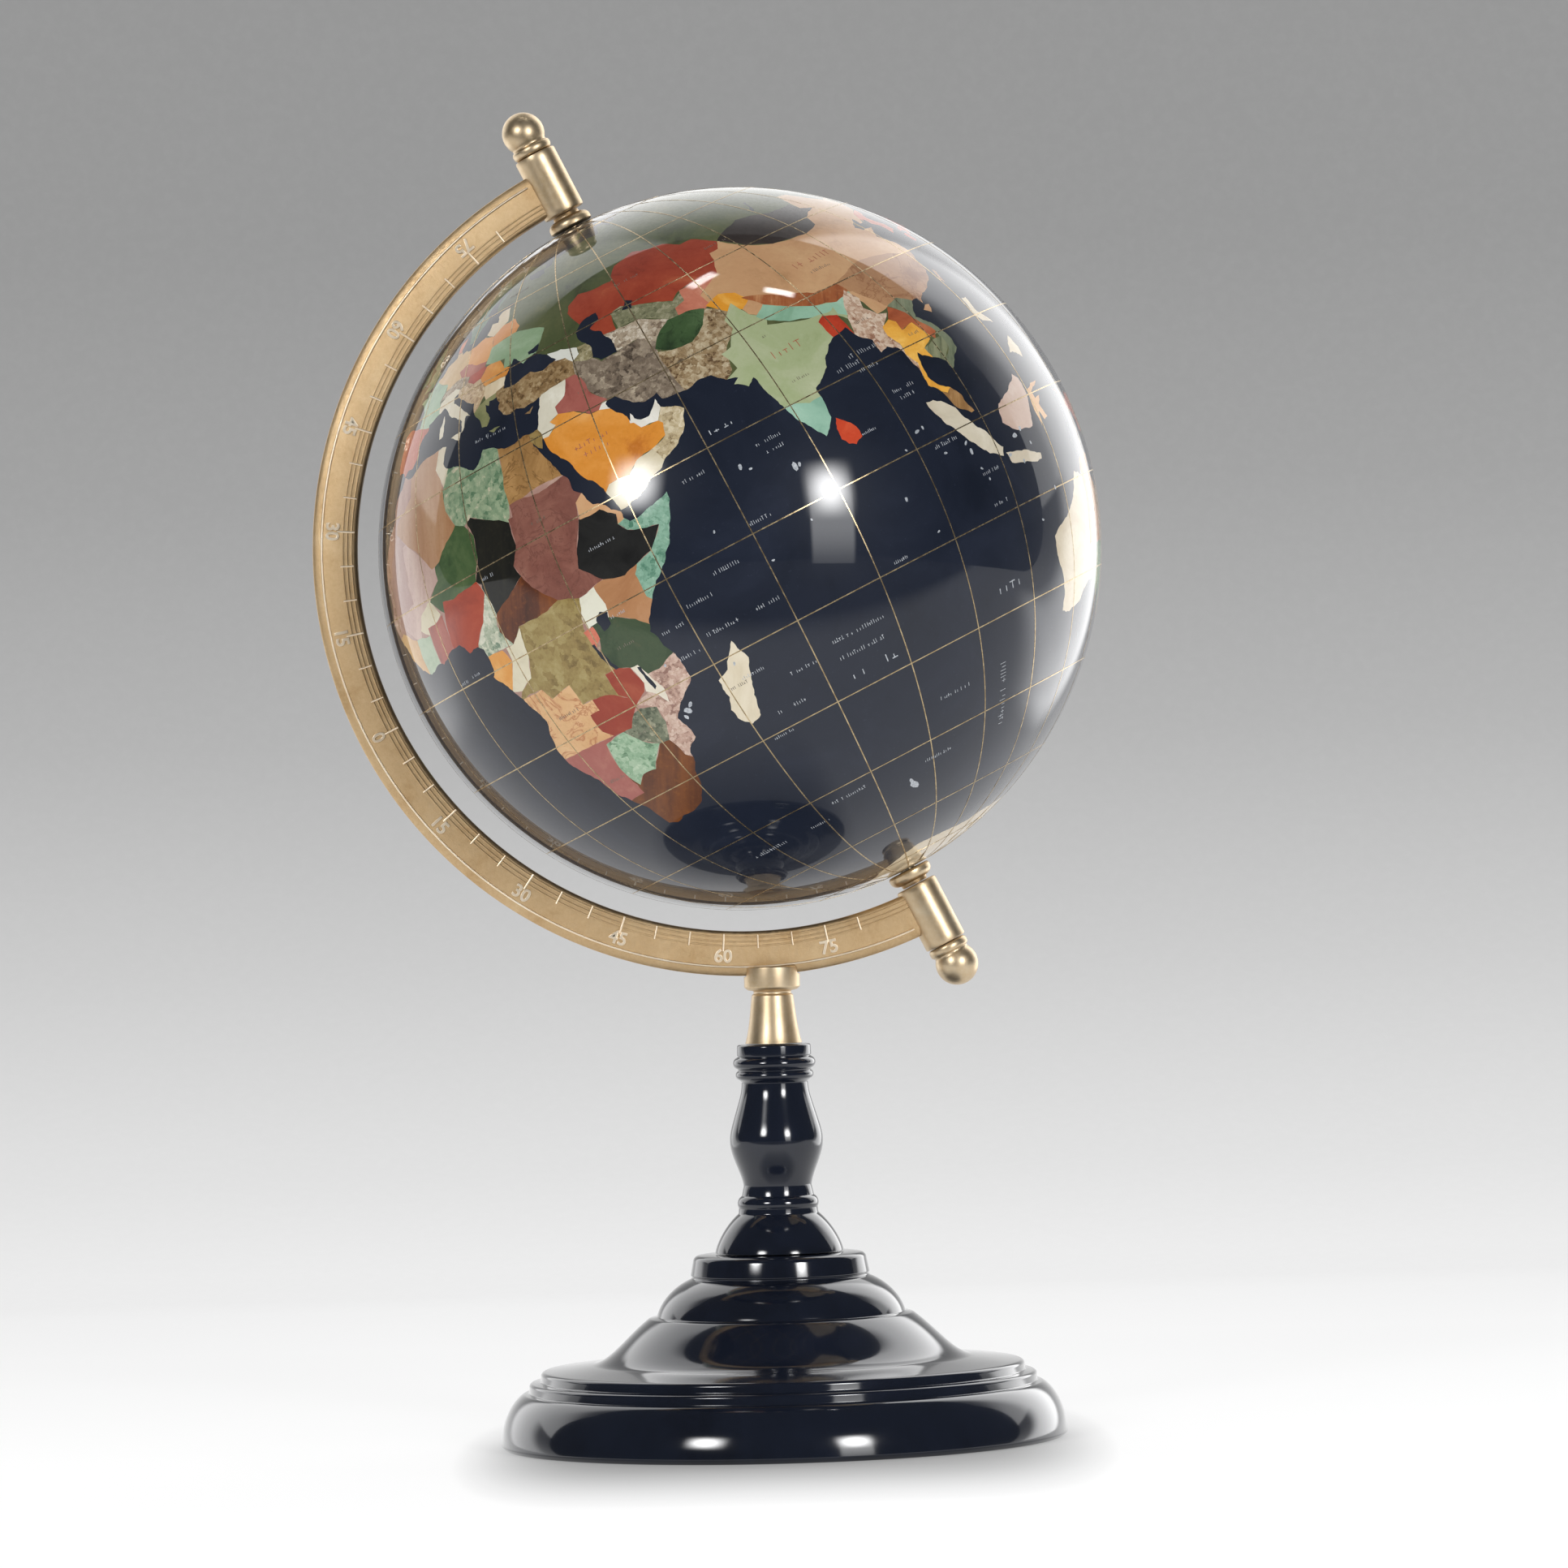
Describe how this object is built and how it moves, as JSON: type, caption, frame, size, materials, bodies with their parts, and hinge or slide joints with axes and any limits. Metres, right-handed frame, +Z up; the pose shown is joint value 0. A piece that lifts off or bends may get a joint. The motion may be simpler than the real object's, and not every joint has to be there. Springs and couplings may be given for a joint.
{
  "type": "inlaid stone globe on stand",
  "caption": "Polished stone-inlay world globe spinning on a tilted axis in a brass half-meridian, on a turned, gloss-lacquered pedestal stand.",
  "frame": {"origin": "centre of the stand's round underside, on the surface it stands on", "axes": "+Z up along the turned stand; the half-meridian lies flat in the XZ plane, with the upper end of the polar axis leaning towards -X"},
  "size_m": [0.24, 0.22, 0.4065],
  "materials": {
    "lacquer": "turned wood under blue-black high-gloss lacquer",
    "brass": "pale satin brass, cast on the half-meridian and turned on the other pieces",
    "stone_inlay": "dark navy ground with inlaid coloured stones, fine gold lines and a clear gloss polish"
  },
  "bodies": {
    "stand": {"base": "lacquer", "column": "lacquer", "ferrule": "brass", "meridian_arm": "brass", "upper_pivot": "brass", "lower_pivot": "brass", "upper_finial": "brass", "lower_finial": "brass"},
    "globe": {"globe": "stone_inlay"}
  },
  "joints": [
    {"name": "globe_spin", "type": "hinge", "parent": "stand", "child": "globe", "pos_m": [-0.006, 0, 0.272], "axis": [-0.4384, 0, 0.8988], "continuous": true}
  ]
}
